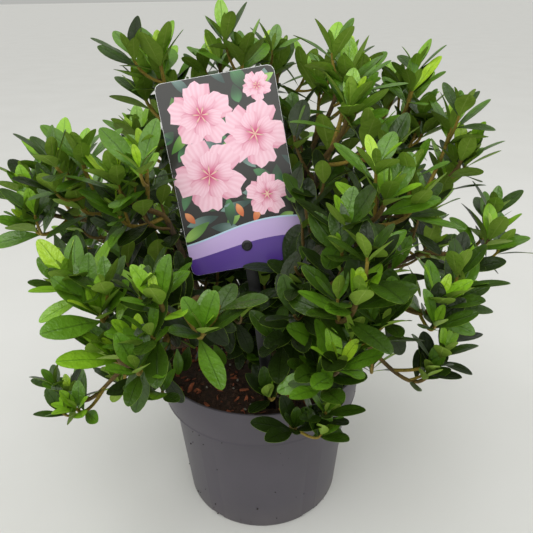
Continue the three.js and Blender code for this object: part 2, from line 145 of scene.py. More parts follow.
def new_light(name, kind, way, power):
    """A light of its kind that shines this way."""
    light = bpy.data.objects.new(name, bpy.data.lights.new(name, kind))
    light.data.energy = power
    light.rotation_euler = Vector(way).to_track_quat("-Z", "Y").to_euler()
    bpy.context.collection.objects.link(light)
    return light


world = bpy.data.worlds.new("overcast")
world.use_nodes = True
feed(world.node_tree.nodes["Background"], {"Color": linear("#f6f6f2"), "Strength": SKY_STRENGTH})
bpy.context.scene.world = world

sun = new_light("soft_daylight", "SUN", SUN_WAY, SUN_STRENGTH)
sun.data.angle = SUN_BREADTH
for name, spot, size, power in LAMPS:
    lamp = new_light(name, "AREA", LAMPS_AIM - Vector(spot) * MM, power)
    lamp.data.size = size
    lamp.location = Vector(spot) * MM

bpy.ops.object.select_all(action="DESELECT")
bpy.ops.mesh.primitive_plane_add(size=BENCH_SIDE, location=(0, 0, 0))
bench = bpy.context.object
bench.name = "bench"
# White eggshell paint on board: matt, and slightly uneven in tone.
material, tree, shader = new_finish("white_painted_bench", 0.7, 1.45)
place = add_node(tree, "TexCoord").outputs["Object"]
mottled(shader, place, 6, "#cfcfcb", "#d8d8d5", detail=4)
bench.data.materials.append(material)
bench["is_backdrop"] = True

# --- Pot ---
# A 3 litre nursery pot, injection moulded in taupe-grey polypropylene with a thin tapered wall.
# A deep band stiffens its rim, and a bevelled foot with drain holes and notches stands on the bench.

POT_HEIGHT = 153
RIM_RADIUS = 95
BAND_FOOT = 116
BAND_FOOT_RADIUS = 90.6
BODY_TOP_RADIUS = 84
STEP_HEIGHT = 1.5
LIP_ROUND = 1.4
BEAD = 0.7
FOOT_RADIUS = 74.3
FOOT_BEVEL = 2.5
WALL = 1.8
BASE_THICKNESS = 2.6
POT_SIDES = 128
DRAIN_HOLES = 5
DRAIN_RADIUS = 5.5
DRAIN_RING = 50
NOTCH = (14, 12, 6)


def deselect():
    """Nothing is selected, in object mode."""
    if bpy.context.object and bpy.context.object.mode != "OBJECT":
        bpy.ops.object.mode_set(mode="OBJECT")
    bpy.ops.object.select_all(action="DESELECT")


def pick(piece):
    """Only this piece is selected, and it is the active one."""
    deselect()
    bpy.context.view_layer.objects.active = piece
    piece.select_set(True)


def turned_up(name, sides, profile):
    """A closed body drawn up from a disc, ring after ring, through (radius, height) in millimetres."""
    deselect()
    radius, height = profile[0]
    bpy.ops.mesh.primitive_circle_add(
        vertices=sides, radius=radius * MM, fill_type="NGON", location=(0, 0, height * MM))
    made = bpy.context.object
    made.name = name
    bpy.ops.object.transform_apply(location=True)
    bpy.ops.object.mode_set(mode="EDIT")
    bpy.ops.mesh.select_all(action="SELECT")
    for wider, higher in profile[1:]:
        bpy.ops.mesh.extrude_region_move(
            TRANSFORM_OT_translate={"value": (0, 0, (higher - height) * MM)})
        share = wider / radius
        bpy.ops.transform.resize(value=(share, share, 1), center_override=(0, 0, higher * MM))
        radius, height = wider, higher
    bpy.ops.mesh.select_all(action="SELECT")
    bpy.ops.mesh.normals_make_consistent(inside=False)
    bpy.ops.object.mode_set(mode="OBJECT")
    return made


def apply_modifier(piece, kind, **settings):
    """Adds a modifier to a piece and applies it at once."""
    pick(piece)
    modifier = piece.modifiers.new(kind.lower(), kind)
    for key, value in settings.items():
        setattr(modifier, key, value)
    bpy.ops.object.modifier_apply(modifier=modifier.name)


def smooth(piece, degrees):
    """Soft shading over a piece, with edges sharper than this kept crisp."""
    pick(piece)
    bpy.ops.object.shade_smooth_by_angle(angle=math.radians(degrees))


def hand_over(piece, material, slot, *nodes):
    """The piece gets its finish, rides on the one body and stands for the nodes."""
    piece.data.materials.append(material)
    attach(piece, "root")
    if nodes:
        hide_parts(*nodes)


pot = turned_up("pot_shell", POT_SIDES, [
    (FOOT_RADIUS - FOOT_BEVEL, 0),
    (FOOT_RADIUS - 0.3 * FOOT_BEVEL, 0.3 * FOOT_BEVEL),
    (FOOT_RADIUS, FOOT_BEVEL),
    (BODY_TOP_RADIUS, BAND_FOOT - STEP_HEIGHT),
    (BAND_FOOT_RADIUS - LIP_ROUND, BAND_FOOT - 0.2),
    (BAND_FOOT_RADIUS - 0.1, BAND_FOOT + 0.1),
    (BAND_FOOT_RADIUS + BEAD, BAND_FOOT + 0.6),
    (BAND_FOOT_RADIUS + BEAD, BAND_FOOT + 1.2),
    (BAND_FOOT_RADIUS + 0.3, BAND_FOOT + 2.2),
    (RIM_RADIUS, POT_HEIGHT - LIP_ROUND),
    (RIM_RADIUS - 0.3, POT_HEIGHT - 0.3),
    (RIM_RADIUS - WALL / 2, POT_HEIGHT),
    (RIM_RADIUS - WALL - 0.5, POT_HEIGHT - 0.5),
    (BAND_FOOT_RADIUS - WALL, BAND_FOOT + 2 * STEP_HEIGHT),
    (BODY_TOP_RADIUS - WALL, BAND_FOOT - STEP_HEIGHT),
    (FOOT_RADIUS - WALL, BASE_THICKNESS),
])
cutters = []
for i in range(DRAIN_HOLES):
    angle = 2 * math.pi * i / DRAIN_HOLES
    spot = (DRAIN_RING * math.sin(angle) * MM, -DRAIN_RING * math.cos(angle) * MM, 0)
    bpy.ops.mesh.primitive_cylinder_add(
        vertices=24, radius=DRAIN_RADIUS * MM, depth=12 * MM, location=spot)
    cutters.append(bpy.context.object)
    angle += math.pi / DRAIN_HOLES
    spot = (FOOT_RADIUS * math.sin(angle) * MM, -FOOT_RADIUS * math.cos(angle) * MM, 0)
    bpy.ops.mesh.primitive_cube_add(
        size=1, location=spot, rotation=(0, 0, angle), scale=[side * MM for side in NOTCH])
    cutters.append(bpy.context.object)
deselect()
for cutter in cutters:
    cutter.select_set(True)
bpy.context.view_layer.objects.active = cutters[0]
bpy.ops.object.join()
cutter = bpy.context.object
apply_modifier(pot, "BOOLEAN", operation="DIFFERENCE", object=cutter, solver="EXACT")
bpy.data.objects.remove(cutter)
smooth(pot, 28)

# Polypropylene: satin, slightly mottled where the melt flowed, with dust low on the wall.
# The mould's spark texture is 0.1 mm, drawn 1.2 mm wide so that it shows.
SPARK_TEXTURE = 1.2
DUST_HEIGHT = 30
material, tree, shader = new_finish("moulded_polypropylene", 0.42, 1.49)
place = add_node(tree, "TexCoord").outputs["Object"]
tone, cloud = mottled(shader, place, 22, "#413d45", "#4f4a53", detail=5)
height = add_node(tree, "SeparateXYZ", {"Vector": place})
low = add_node(tree, "MapRange", {
    "Value": height.outputs["Z"], "From Max": DUST_HEIGHT * MM, "To Min": 0.35, "To Max": 0.0,
})
dust = add_node(tree, "Math", {0: low, 1: cloud}, operation="MULTIPLY")
dusty = add_node(tree, "Mix", {0: dust, 6: tone, 7: linear("#77706a")}, data_type="RGBA")
grain = add_node(tree, "TexNoise", {"Vector": place, "Scale": 1 / (SPARK_TEXTURE * MM), "Detail": 3})
bump = add_node(tree, "Bump", {"Height": grain, "Strength": 0.25, "Distance": 0.12 * MM})
feed(shader, {"Base Color": dusty, "Normal": bump})
hand_over(pot, material, "pot", "pot")

# --- Compost ---
# Dark peat and coir fill the pot to a finger below its rim, settled a little towards the wall.
# Loose crumbs, reddish bark chips and a few grey grit stones lie on it, and some crumbs cling to the pot.

SOIL_LEVEL = 140
SOIL_EDGE = 91.4
SOIL_DEPTH = 22
SOIL_RINGS = 24
SOIL_ROLL = 3.2
SOIL_CRUMB = 1.3
SOIL_WAVES = 28
SOIL_GRAINS = 170


def soil_roll(spot):
    """How the compost rolls up and down, from -1 to 1, at a spot in metres."""
    return noise.noise(spot * SOIL_WAVES + Vector((3, 1, 0)))


soil = turned_up("compost_surface", 112, [
    (SOIL_EDGE - 12, SOIL_LEVEL - SOIL_DEPTH), (SOIL_EDGE - 1, SOIL_LEVEL - 4),
    (SOIL_EDGE, SOIL_LEVEL - 2), (SOIL_EDGE - 1, SOIL_LEVEL - 1),
])
bpy.ops.object.mode_set(mode="EDIT")
bpy.ops.mesh.select_all(action="DESELECT")
bpy.ops.object.mode_set(mode="OBJECT")
for face in soil.data.polygons:
    face.select = len(face.vertices) > 4 and face.center.z > (SOIL_LEVEL - 2) * MM
bpy.ops.object.mode_set(mode="EDIT")
for ring in range(SOIL_RINGS):
    bpy.ops.mesh.inset(thickness=(SOIL_EDGE - 3) / (SOIL_RINGS + 1) * MM)
bpy.ops.object.mode_set(mode="OBJECT")
for vertex in soil.data.vertices:
    out = math.hypot(vertex.co.x, vertex.co.y) / MM
    if vertex.co.z > (SOIL_LEVEL - 1.5) * MM and out < SOIL_EDGE - 2:
        crumb = noise.noise(vertex.co * SOIL_GRAINS)
        vertex.co.z += (1 + SOIL_ROLL * soil_roll(vertex.co) + SOIL_CRUMB * crumb) * MM
smooth(soil, 60)


def new_piece(name, corners, faces):
    """A piece from its corners in metres and its faces."""
    mesh = bpy.data.meshes.new(name)
    mesh.from_pydata(corners, [], faces)
    mesh.update()
    made = bpy.data.objects.new(name, mesh)
    bpy.context.collection.objects.link(made)
    return made


def joined(name, corners, faces):
    """One piece of many like shapes: each one's corners in mm, and the faces that all share."""
    faces = np.asarray(faces)
    count, each = corners.shape[:2]
    sets = (faces[None] + (np.arange(count) * each)[:, None, None]).reshape(-1, faces.shape[1])
    return new_piece(name, (corners.reshape(-1, 3) * MM).tolist(), sets.tolist())


def lumps(name, spots, turns, scales):
    """One piece of many lumps, each with its own place, turn and three-way scale."""
    corners = np.einsum("nij,nvj->nvi", turns, lump[None] * scales[:, None, :]) + spots[:, None, :]
    return joined(name, corners, lump_faces)


def random_turns(draw, count):
    """Turns to any side, as matrices."""
    spins = draw.normal(size=(count, 4))
    spins /= np.linalg.norm(spins, axis=1)[:, None]
    w, x, y, z = spins.T
    return np.stack([
        np.stack([1 - 2 * (y * y + z * z), 2 * (x * y - z * w), 2 * (x * z + y * w)], -1),
        np.stack([2 * (x * y + z * w), 1 - 2 * (x * x + z * z), 2 * (y * z - x * w)], -1),
        np.stack([2 * (x * z - y * w), 2 * (y * z + x * w), 1 - 2 * (x * x + y * y)], -1),
    ], 1)


deselect()
bpy.ops.mesh.primitive_ico_sphere_add(subdivisions=1, radius=1)
seed_lump = bpy.context.object
lump = np.array([v.co[:] for v in seed_lump.data.vertices])
lump_faces = [list(face.vertices) for face in seed_lump.data.polygons]
bpy.data.objects.remove(seed_lump)
draw = np.random.RandomState(41)
lump = lump * (0.75 + 0.5 * draw.rand(len(lump), 1))

CRUMBS = 1500
CHIPS = 230
STONES = 26
SPECKS = 90


def on_soil(count, reach):
    """Random spots on the compost, at its level."""
    out = reach * np.sqrt(draw.rand(count))
    angle = 2 * np.pi * draw.rand(count)
    spots = np.stack([out * np.cos(angle), out * np.sin(angle), np.full(count, SOIL_LEVEL)], -1)
    for spot in spots:
        spot[2] += SOIL_ROLL * soil_roll(Vector(spot) * MM)
    return spots


sizes = 0.8 + 1.6 * draw.rand(CRUMBS, 1) ** 2
crumbs = lumps(
    "peat_crumbs", on_soil(CRUMBS, SOIL_EDGE - 2),
    random_turns(draw, CRUMBS), sizes * (0.6 + 0.6 * draw.rand(CRUMBS, 3)))
flat = np.array([1.0, 0.42, 0.22])
sizes = 2.2 + 4.2 * draw.rand(CHIPS, 1) ** 1.5
lie = random_turns(draw, CHIPS)
lie[:, 2, :] *= 0.45
lie[:, :, 2] += np.array([0, 0, 0.6])
lie /= np.linalg.norm(lie, axis=1)[:, None, :]
chips = lumps(
    "bark_chips", on_soil(CHIPS, SOIL_EDGE - 7) + [0, 0, 1.0],
    lie, sizes * flat * (0.7 + 0.5 * draw.rand(CHIPS, 3)))
stones = lumps(
    "grit_stones", on_soil(STONES, SOIL_EDGE - 8) + [0, 0, 0.8],
    random_turns(draw, STONES), (0.7 + 0.8 * draw.rand(STONES, 1)) * np.ones((STONES, 3)))
angle = 2 * np.pi * draw.rand(SPECKS)
rise = (POT_HEIGHT - 12) * draw.rand(SPECKS) ** 1.8 + 1.2
body = rise < BAND_FOOT - 3
out = np.where(
    body,
    FOOT_RADIUS + (BODY_TOP_RADIUS - FOOT_RADIUS) * rise / BAND_FOOT,
    BAND_FOOT_RADIUS + (RIM_RADIUS - BAND_FOOT_RADIUS) * (rise - BAND_FOOT) / (POT_HEIGHT - BAND_FOOT))
specks = lumps(
    "soil_specks", np.stack([out * np.sin(angle), -out * np.cos(angle), rise], -1),
    random_turns(draw, SPECKS), (0.35 + 0.75 * draw.rand(SPECKS, 1) ** 2) * np.ones((SPECKS, 3)))

# Peat is near black and matt. Most crumbs are 1 to 5 mm. Bark chips are larger, flatter and redder.
EARTHS = [
    # piece, finish, dark tone, light tone, size of its mottling in mm, nodes that it stands for
    (soil, "settled_peat", "#1c120c", "#40291b", 4, ["compost"]),
    (crumbs, "loose_peat", "#21150f", "#4d3325", 5, []),
    (chips, "composted_pine_bark", "#5a2a1a", "#a8603f", 7, []),
    (stones, "grey_grit", "#6f6a62", "#a39d92", 3, []),
    (specks, "dry_peat", "#17110e", "#2a1f19", 2, []),
]
for piece, name, dark, light, grain_size, nodes in EARTHS:
    material, tree, shader = new_finish(name, 0.92, 1.45)
    place = add_node(tree, "TexCoord").outputs["Object"]
    _, grain = mottled(
        shader, place, 1 / (grain_size * MM), dark, light, (0.35, 0.68), detail=6, rough=0.7)
    bump = add_node(tree, "Bump", {"Height": grain, "Strength": 0.9, "Distance": 1.2 * MM})
    feed(shader, {"Normal": bump})
    hand_over(piece, material, "compost", *nodes)

# --- Stem and main boughs ---
# One short woody stem flares into the compost and leans a little. Its boughs leave it low down,
# arch outwards and carry side boughs. The bark is thin, grey-brown and finely fissured along each limb.

STEM_HEIGHT = 46
STEM_LEAN = Vector((-5, -3, 0))
STEM_PROFILE = [(0, 13.5), (0.1, 10.4), (0.3, 8.8), (0.65, 7.8), (1, 6.6)]
STEM_FOOT = SOIL_LEVEL + 0.3
MAIN_BOUGH = (4.2, 2.1)
SIDE_BOUGH = (3.0, 2.1)
BOUGH_ARCH = 30
BOUGH_ARCH_FALL = 0.25
HEART = Vector((0, 0, 215))
LEADER_LENGTH = 54

CROWN = [
    # name, bearing in degrees, how far out, how high, side shoots, what carries it, at what share
    ("top_right", 88, 64, 394, 2, "stem", 1),
    ("left", -76, 172, 320, 2, "stem", 0.62),
    ("front_left", -19, 167, 293, 2, "stem", 0.75),
    ("left_mid", -42, 172, 292, 2, "stem", 0.5),
    ("front_right_high", 33, 146, 342, 2, "stem", 0.82),
    ("right_mid", 41, 176, 276, 2, "stem", 0.45),
    ("right_out", 73, 184, 284, 2, "stem", 0.65),
    ("back_right_high", 104, 133, 370, 4, "stem", 0.8),
    ("back", 172, 150, 316, 4, "stem", 0.6),
    ("back_left_high", -132, 126, 338, 4, "stem", 0.78),
    ("low_front", 12, 126, 166, 2, "stem", 0.36),
    ("low_left", -67, 170, 153, 2, "stem", 0.3),
    ("top_left", -98, 74, 400, 2, "left", 0.3),
    ("left_up", -58, 148, 352, 2, "left", 0.42),
    ("front_left_high", -41, 132, 348, 2, "left_mid", 0.5),
    ("front_low_left", -31, 171, 248, 2, "left_mid", 0.4),
    ("top_front_left", -130, 34, 404, 2, "top_right", 0.3),
    ("top_front_right", 42, 94, 386, 2, "front_right_high", 0.42),
    ("front_right", 20, 171, 292, 2, "front_right_high", 0.6),
    ("low_front_right", 18, 166, 246, 2, "right_mid", 0.42),
    ("right_up", 80, 158, 338, 2, "right_out", 0.4),
    ("low_right", 63, 154, 170, 2, "right_mid", 0.3),
    ("back_top", 165, 78, 396, 3, "top_right", 0.42),
    ("back_right", 110, 172, 264, 4, "back_right_high", 0.42),
    ("back_left", -112, 172, 254, 4, "back_left_high", 0.42),
    ("back_low_right", 150, 166, 226, 4, "back", 0.36),
    ("back_low_left", -152, 166, 232, 4, "back", 0.48),
]


class Bow:
    """A limb's middle line, from its first mark to its last and drawn towards those between."""

    def __init__(self, *marks):
        self.marks = marks

    def last_step(self, share):
        """The two spots between which the line's spot at this share lies."""
        line = self.marks
        while len(line) > 2:
            line = [a.lerp(b, share) for a, b in zip(line, line[1:])]
        return line

    def point(self, share):
        first, second = self.last_step(share)
        return first.lerp(second, share)

    def tangent(self, share):
        first, second = self.last_step(share)
        return (second - first).normalized()

    def path(self, steps):
        return [self.point(i / steps) for i in range(steps + 1)]


class Limbs:
    """Gathers limbs into one mesh: rings of points square to each line, closed at both ends."""

    def __init__(self):
        self.corners, self.faces = [], []

    def grow(self, line, radii, sides, rings, relief, scale):
        """Adds a limb with these (share, radius) stations, roughened by relief mm at a scale in mm."""
        shares, widths = zip(*radii)
        side = line.tangent(0).orthogonal().normalized()
        first = len(self.corners)
        for i in range(rings + 1):
            share = i / rings
            along = line.tangent(share)
            side = (side - along * side.dot(along)).normalized()
            other = along.cross(side)
            centre = line.point(share)
            radius = float(np.interp(share, shares, widths))
            for s in range(sides):
                angle = 2 * math.pi * s / sides
                way = side * math.cos(angle) + other * math.sin(angle)
                spot = centre + way * radius
                rough = noise.noise(spot / scale) + 0.6 * noise.noise(
                    Vector((s * 7.3, centre.length / (2.2 * scale), first)))
                self.corners.append(spot + way * relief * rough)
        self.close(first, sides, rings)

    def close(self, first, sides, rings):
        """Skins the rings that start at this corner, with a flat cap on each end."""
        for i in range(rings):
            for s in range(sides):
                a = first + i * sides + s
                b = first + i * sides + (s + 1) % sides
                self.faces.append((a, b, b + sides, a + sides))
        last = first + rings * sides
        self.faces.append(tuple(range(first + sides - 1, first - 1, -1)))
        self.faces.append(tuple(range(last, last + sides)))

    def piece(self, name):
        """The gathered limbs as one piece."""
        made = new_piece(name, [tuple(c * MM) for c in self.corners], self.faces)
        smooth(made, 60)
        return made


def spot_at(bearing, out, high):
    """A spot at a bearing about the pot's axis, 0 towards the front and 90 to the right."""
    turn = math.radians(bearing)
    return Vector((out * math.sin(turn), -out * math.cos(turn), high))


def stem_point(share):
    return STEM_LEAN * share + Vector((0, 0, STEM_FOOT + STEM_HEIGHT * share))


STEM_SIDES = 26
STEM_RINGS = 26
ROOT_RIDGES = 5
ROOT_RIDGE = 2.4
stem = Limbs()
for i in range(STEM_RINGS + 1):
    share = i / STEM_RINGS
    radius = float(np.interp(share, *zip(*STEM_PROFILE)))
    for s in range(STEM_SIDES):
        angle = 2 * math.pi * s / STEM_SIDES
        root = ROOT_RIDGE * math.cos(ROOT_RIDGES * angle + 0.6) * (1 - share) ** 5
        fissure = noise.noise(Vector((4 * math.cos(angle), 4 * math.sin(angle), 2.2 * share)))
        out = radius + root + 1.1 * fissure
        spot = STEM_LEAN * share + Vector((
            out * math.cos(angle), out * math.sin(angle), STEM_FOOT - 1.5 + (STEM_HEIGHT + 1.5) * share))
        stem.corners.append(spot)
stem.close(0, STEM_SIDES, STEM_RINGS)
stem_piece = stem.piece("stem_bark")

boughs = {}
bark = Limbs()
for name, bearing, out, high, shoots, carrier, share in CROWN:
    tip = spot_at(bearing, out, high)
    heading = (tip - HEART).normalized()
    start = stem_point(share) if carrier == "stem" else boughs[carrier].point(share)
    end = tip - heading * LEADER_LENGTH
    middle = start.lerp(end, 0.5)
    middle.z += BOUGH_ARCH - BOUGH_ARCH_FALL * (end.z - start.z)
    boughs[name] = Bow(start, middle, end)
    foot, thin = MAIN_BOUGH if carrier == "stem" else SIDE_BOUGH
    rings = round((end - start).length / 3.2)
    bark.grow(boughs[name], [(0, foot), (0.1, foot * 0.93), (1, thin)], 10, rings, 0.42, 3.4)
bough_piece = bark.piece("bough_bark")

# Azalea bark: matt, grey-brown, with fissures 1 to 2 mm apart that run along the limb.
FISSURE = 1.8
BARKS = [(stem_piece, "old_bark", "#2c2016", "#65523d", ["stem"]),
         (bough_piece, "bough_bark", "#2a1e13", "#5e4a34", ["bough_" + row[0] for row in CROWN])]
for piece, name, dark, light, nodes in BARKS:
    material, tree, shader = new_finish(name, 0.85, 1.45)
    place = add_node(tree, "TexCoord").outputs["Object"]
    stretch = add_node(tree, "Mapping", {"Vector": place, "Scale": (1, 1, 0.3)})
    tone, fissures = mottled(
        shader, stretch, 1 / (FISSURE * MM), dark, light, (0.35, 0.65), detail=5, rough=0.65)
    lichen = add_node(tree, "TexNoise", {"Vector": place, "Scale": 55, "Detail": 3})
    grey = add_node(tree, "MapRange", {
        "Value": lichen, "From Min": 0.5, "From Max": 0.75, "To Max": 0.45,
    })
    greyed = add_node(tree, "Mix", {0: grey, 6: tone, 7: linear("#5f5c4c")}, data_type="RGBA")
    bump = add_node(tree, "Bump", {"Height": fissures, "Strength": 0.8, "Distance": 0.6 * MM})
    feed(shader, {"Base Color": greyed, "Normal": bump})
    hand_over(piece, material, "bark", *nodes)

# --- Picture card ---
# A glossy printed card of white 0.9 mm polypropylene with rounded corners stands in front of the crown.
# It leans back and to the left. Its print is pink five-petalled blossoms over leaves on a dark ground,
# above a lilac and a purple wave.

CARD_WIDTH = 84
CARD_HEIGHT = 137
CARD_THICKNESS = 0.9
CARD_CORNER = 5
CARD_CENTRE = Vector((-16, -52, 338))
card_up = Vector((-0.16, 0.27, 0.95)).normalized()
card_front = Vector((0.985, 0.09, 0.14)).cross(card_up).normalized()
card_across = card_up.cross(card_front).normalized()
RIVET_OFFSET = (1, -53)
RIVET_RADIUS = 4
card_place = Matrix((card_across, card_up, card_front)).transposed().to_4x4()
card_place = Matrix.Translation(CARD_CENTRE * MM) @ card_place


def card_spot(across, up, front):
    """A spot on the card, measured from its middle in millimetres."""
    return CARD_CENTRE + card_across * across + card_up * up + card_front * front


def set_down(piece, place):
    """Moves a piece to its place, and leaves the move in its mesh."""
    pick(piece)
    piece.matrix_world = place
    bpy.ops.object.transform_apply(location=True, rotation=True, scale=True)


deselect()
bpy.ops.mesh.primitive_plane_add(size=1)
card = bpy.context.object
card.name = "card_sheet"
bpy.ops.transform.resize(value=(CARD_WIDTH * MM, CARD_HEIGHT * MM, 1))
bpy.ops.object.transform_apply(scale=True)
bpy.ops.object.mode_set(mode="EDIT")
bpy.ops.mesh.select_all(action="SELECT")
bpy.ops.mesh.bevel(offset=CARD_CORNER * MM, segments=8, affect="VERTICES")
bpy.ops.mesh.extrude_region_move(TRANSFORM_OT_translate={"value": (0, 0, -CARD_THICKNESS * MM)})
bpy.ops.mesh.select_all(action="SELECT")
bpy.ops.transform.translate(value=(0, 0, CARD_THICKNESS / 2 * MM))
bpy.ops.mesh.normals_make_consistent(inside=False)
bpy.ops.object.mode_set(mode="OBJECT")
bpy.ops.mesh.primitive_cylinder_add(
    vertices=24, radius=(RIVET_RADIUS / 2 + 0.3) * MM, depth=10 * MM,
    location=(RIVET_OFFSET[0] * MM, RIVET_OFFSET[1] * MM, 0))
punch = bpy.context.object
apply_modifier(card, "BOOLEAN", operation="DIFFERENCE", object=punch, solver="EXACT")
bpy.data.objects.remove(punch)
apply_modifier(card, "BEVEL", width=0.15 * MM, segments=2, limit_method="ANGLE")
set_down(card, card_place)
smooth(card, 30)
# White polypropylene sheet: smooth and even, and bare of print on its back and edges.
material, tree, shader = new_finish("white_card_stock", 0.3, 1.49)
place = add_node(tree, "TexCoord").outputs["Object"]
mottled(shader, place, 30, "#e4e6e6", "#f1f2f2")
hand_over(card, material, "card", "picture_card")

PRINT_LIFT = 0.03
PRINT_MARGIN = 0.25
PRINT_TILT = 0.4


def inside_card(across, up):
    """The nearest spot inside the card's rounded outline, kept off its edge by the margin."""
    half_x, half_y = CARD_WIDTH / 2 - PRINT_MARGIN, CARD_HEIGHT / 2 - PRINT_MARGIN
    x = max(-half_x, min(half_x, across))
    y = max(-half_y, min(half_y, up))
    limit = CARD_CORNER - PRINT_MARGIN
    core_x, core_y = half_x - limit, half_y - limit
    over_x, over_y = abs(x) - core_x, abs(y) - core_y
    far = math.hypot(over_x, over_y)
    if over_x > 0 and over_y > 0 and far > limit:
        x = math.copysign(core_x + over_x * limit / far, x)
        y = math.copysign(core_y + over_y * limit / far, y)
    return x, y


class Ink:
    """Gathers flat printed shapes of one finish, each a small grid with its own u across and v along."""

    def __init__(self, name):
        self.name, self.corners, self.faces, self.marks = name, [], [], []

    def lay(self, rows, columns, level, spot, plain=False):
        """Lays a grid at its level in the stack of inks. Its spot(u, v) gives across and up."""
        first = len(self.corners)
        for j in range(rows + 1):
            for i in range(columns + 1):
                u, v = i / columns, j / rows
                across, up = inside_card(*spot(u, v))
                mark = 0 if plain else u
                front = CARD_THICKNESS / 2 + PRINT_LIFT * (level + PRINT_TILT * mark)
                self.corners.append(card_spot(across, up, front))
                self.marks.append((mark, v))
        width = columns + 1
        for a in (first + j * width + i for j in range(rows) for i in range(columns)):
            self.faces.append((a, a + 1, a + width + 1, a + width))

    def piece(self, material):
        """The gathered shapes as one piece."""
        made = new_piece(self.name, [tuple(c * MM) for c in self.corners], self.faces)
        layer = made.data.uv_layers.new(name="print")
        for loop in made.data.loops:
            layer.data[loop.index].uv = self.marks[loop.vertex_index]
        hand_over(made, material, "card")


ground = Ink("print_ground")
ground.lay(34, 22, 1, lambda u, v: ((u - 0.5) * CARD_WIDTH, (v - 0.5) * CARD_HEIGHT), plain=True)


def wave(share, low, swing):
    """The height of a printed wave at a share of the card's width."""
    return -CARD_HEIGHT / 2 + low + swing * math.sin(math.pi * (1.15 * share - 0.35))


def printed_wave(name, low, swing, below, below_swing, level):
    """A band between two waves that run across the foot of the card."""
    def spot(u, v):
        top, foot = wave(u, low, swing), wave(u, below, below_swing)
        return (u - 0.5) * CARD_WIDTH, foot + (top - foot) * v

    ink = Ink(name)
    ink.lay(3, 28, level, spot, plain=True)
    return ink


draw = np.random.RandomState(77)
foliage_inks = [Ink("print_leaves_grey"), Ink("print_leaves_green"), Ink("print_leaves_bright")]


def leaf_print(ink, across, up, length, width, turn, level):
    """A printed leaf: an almond outline about its midrib."""
    def spot(u, v):
        half = width / 2 * math.sin(math.pi * v ** 1.1) ** 0.8 if 0 < v < 1 else 0.05
        x, y = (u - 0.5) * 2 * half, v * length + 0.8 * math.sin(3 * v + level)
        return (across + x * math.cos(turn) - y * math.sin(turn),
                up + x * math.sin(turn) + y * math.cos(turn))

    ink.lay(8, 4, level, spot)


PRINTED_LEAVES = 46
PETALS = 5
for i in range(PRINTED_LEAVES):
    kind = int(draw.choice([0, 0, 1, 1, 2]))
    leaf_print(
        foliage_inks[kind], draw.uniform(-40, 40), draw.uniform(-44, 62),
        draw.uniform(13, 24), draw.uniform(6, 10), draw.uniform(0, 2 * math.pi), 2 + i * 0.12)


def blossom_print(ink, across, up, size, turn, level):
    """A printed blossom: two whorls of five ruffled petals, the outer one broad and the inner one turned."""
    for whorl, (reach, spread) in enumerate(((1.0, 0.86), (0.66, 0.8))):
        for petal in range(PETALS):
            angle = turn + 2 * math.pi * (petal + 0.5 * whorl) / PETALS

            def spot(u, v):
                half = spread * math.sin(math.pi * min(1, 0.08 + 0.62 * v)) ** 0.9
                lobe = 1 - 0.22 * (2 * u - 1) ** 4 - 0.07 * math.cos(5 * math.pi * u + petal)
                out = size * reach * v * lobe
                bend = angle + (2 * u - 1) * half * 0.82
                return across + out * math.cos(bend), up + out * math.sin(bend)

            ink.lay(7, 8, level + whorl * 1.4 + petal * 0.22, spot)


blossoms = Ink("print_blossoms")
BLOSSOMS = [
    # across, up, radius, turn, level in the stack
    (-14, 43, 22, 0.3, 9),
    (21, 24, 23, 1.1, 12),
    (-16, 1, 25, 0.7, 15),
    (22, -19, 15, 0.2, 18),
    (28, 56, 10, 0.9, 9),
]
for across, up, size, turn, level in BLOSSOMS:
    blossom_print(blossoms, across, up, size, turn, level)

anthers = Ink("print_anthers")
for across, up, size, turn, level in BLOSSOMS:
    for i in range(6):
        angle = turn + 1.1 * i
        leaf_print(anthers, across, up, size * 0.3, 0.9, angle, level + 4)

buds = Ink("print_buds")
for across, up, turn in ((2, -31, 0.3), (10, -36, -0.5), (-33, -30, 0.6)):
    leaf_print(buds, across, up, 9, 5, turn, 17)

lilac = printed_wave("print_lilac_wave", 27, 5, 15, 3.5, 21)
purple = printed_wave("print_purple_wave", 15.2, 3.5, 0, 0, 22)
edge = printed_wave("print_wave_edge", 28, 5, 26.8, 5, 23)

# Litho print under a gloss film: each ink fades from root to tip, and the film gives one clear shine.
PRINTS = [
    # ink, finish, colour at its root, colour at its tip, share of v where they meet
    (ground, "ink_dark_ground", "#1d1a16", "#2a2b25", 0.5),
    (foliage_inks[0], "ink_grey_green", "#2f4a44", "#7c9a92", 0.5),
    (foliage_inks[1], "ink_mid_green", "#25452b", "#4f8a55", 0.5),
    (foliage_inks[2], "ink_light_green", "#4f7f2e", "#a6cf6a", 0.5),
    (blossoms, "ink_pink", "#cf2f74", "#ffd3e2", 0.36),
    (anthers, "ink_anther", "#f0c9b0", "#7a3a2c", 0.8),
    (buds, "ink_orange_bud", "#cf6b3c", "#f2a56b", 0.5),
    (lilac, "ink_lilac", "#c3aade", "#cdb8e6", 0.5),
    (purple, "ink_purple", "#4a2b86", "#5a3a97", 0.5),
    (edge, "ink_pale_blue", "#b9d6ec", "#cbe2f2", 0.5),
]
